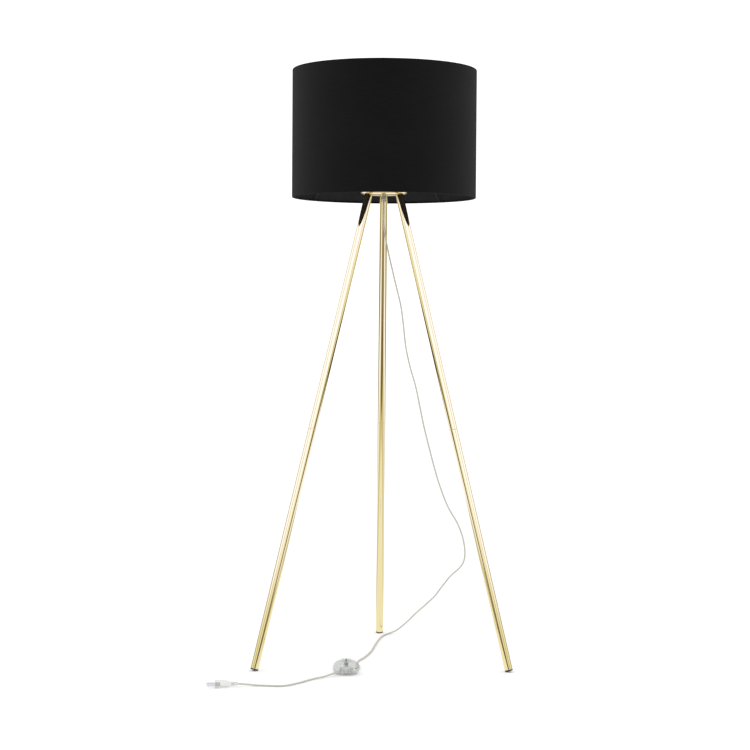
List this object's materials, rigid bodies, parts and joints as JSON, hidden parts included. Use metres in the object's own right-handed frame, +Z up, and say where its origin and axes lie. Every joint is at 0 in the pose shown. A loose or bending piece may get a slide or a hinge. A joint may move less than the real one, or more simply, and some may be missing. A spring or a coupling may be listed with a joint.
{
  "type": "tripod floor lamp",
  "caption": "Floor lamp on three splayed polished brass tube legs under a black fabric drum shade, with a clear lead, foot switch and plug.",
  "frame": {"origin": "on the floor, under the middle of the shade, midway between the three feet", "axes": "+Z up; +Y towards the rear leg; +X to the right, seen from the front"},
  "size_m": [0.7088, 0.7452, 1.4391],
  "materials": {
    "polished_brass": "polished brass plating",
    "zinc_steel": "bright zinc plate",
    "foot_rubber": "satin black",
    "clear_plastic": "clear moulded plastic",
    "holder_plastic": "semi-gloss black thermoplastic",
    "ceramic": "glazed insulator",
    "contact_brass": "plain stamped brass",
    "nickel": "bright nickel",
    "bulb_plastic": "white moulded plastic",
    "opal": "opal diffuser",
    "black_fabric": "close plain weave on a stiff lining",
    "black_wire": "satin black powder coat",
    "clear_cord": "clear flexible sheath over two cores",
    "grey_plastic": "grey moulded plastic"
  },
  "bodies": {
    "stand": {"cord_grip": "clear_plastic", "cord_to_plug": "clear_cord", "cord_to_switch": "clear_cord", "foot_cap_left": "foot_rubber", "foot_cap_rear": "foot_rubber", "foot_cap_right": "foot_rubber", "grip_screw": "zinc_steel", "holder_base": "holder_plastic", "holder_contact": "contact_brass", "holder_core": "ceramic", "holder_skirt": "holder_plastic", "holder_thread": "contact_brass", "hub_dish": "polished_brass", "hub_locknut": "zinc_steel", "hub_nipple": "zinc_steel", "leg_bracket": "zinc_steel", "leg_insert_left": "zinc_steel", "leg_insert_rear": "zinc_steel", "leg_insert_right": "zinc_steel", "leg_joiner_left": "zinc_steel", "leg_joiner_rear": "zinc_steel", "leg_joiner_right": "zinc_steel", "leg_lower_left": "polished_brass", "leg_lower_rear": "polished_brass", "leg_lower_right": "polished_brass", "leg_nut_left": "zinc_steel", "leg_nut_rear": "zinc_steel", "leg_nut_right": "zinc_steel", "leg_stud_left": "zinc_steel", "leg_stud_rear": "zinc_steel", "leg_stud_right": "zinc_steel", "leg_upper_left": "polished_brass", "leg_upper_rear": "polished_brass", "leg_upper_right": "polished_brass", "plug_body": "clear_plastic", "plug_pin_left": "nickel", "plug_pin_right": "nickel", "shade_ring_lower": "holder_plastic", "switch_base": "clear_plastic", "switch_block": "bulb_plastic", "switch_contact_front": "nickel", "switch_contact_rear": "nickel", "switch_cover": "clear_plastic", "switch_spring": "nickel", "switch_terminal_in": "nickel", "switch_terminal_out": "nickel"},
    "shade": {"shade_drum": "black_fabric", "shade_ring_top": "black_wire", "shade_ring_bottom": "black_wire", "fitter_ring": "black_wire", "fitter_arm_1": "black_wire", "fitter_arm_2": "black_wire", "fitter_arm_3": "black_wire", "fitter_arm_4": "black_wire"},
    "shade_clamp": {"shade_ring_upper": "holder_plastic"},
    "bulb": {"bulb_cap": "nickel", "bulb_body": "bulb_plastic", "bulb_globe": "opal"},
    "foot_button": {"switch_button": "clear_plastic", "switch_plunger": "grey_plastic"}
  },
  "joints": [
    {"name": "shade_turn", "type": "hinge", "parent": "stand", "child": "shade", "pos_m": [0, 0, 1.1775], "axis": [0, 0, 1], "continuous": true},
    {"name": "shade_clamp_turn", "type": "hinge", "parent": "stand", "child": "shade_clamp", "pos_m": [0, 0, 1.1815], "axis": [0, 0, 1], "continuous": true},
    {"name": "bulb_turn", "type": "hinge", "parent": "stand", "child": "bulb", "pos_m": [0, 0, 1.19], "axis": [0, 0, 1], "continuous": true},
    {"name": "switch_press", "type": "slide", "parent": "stand", "child": "foot_button", "axis": [0, 0, -1], "range_m": [0, 0.003], "stiffness_N_per_m": 2500, "springref_m": -0.0008, "deforming": ["switch_spring"]}
  ]
}
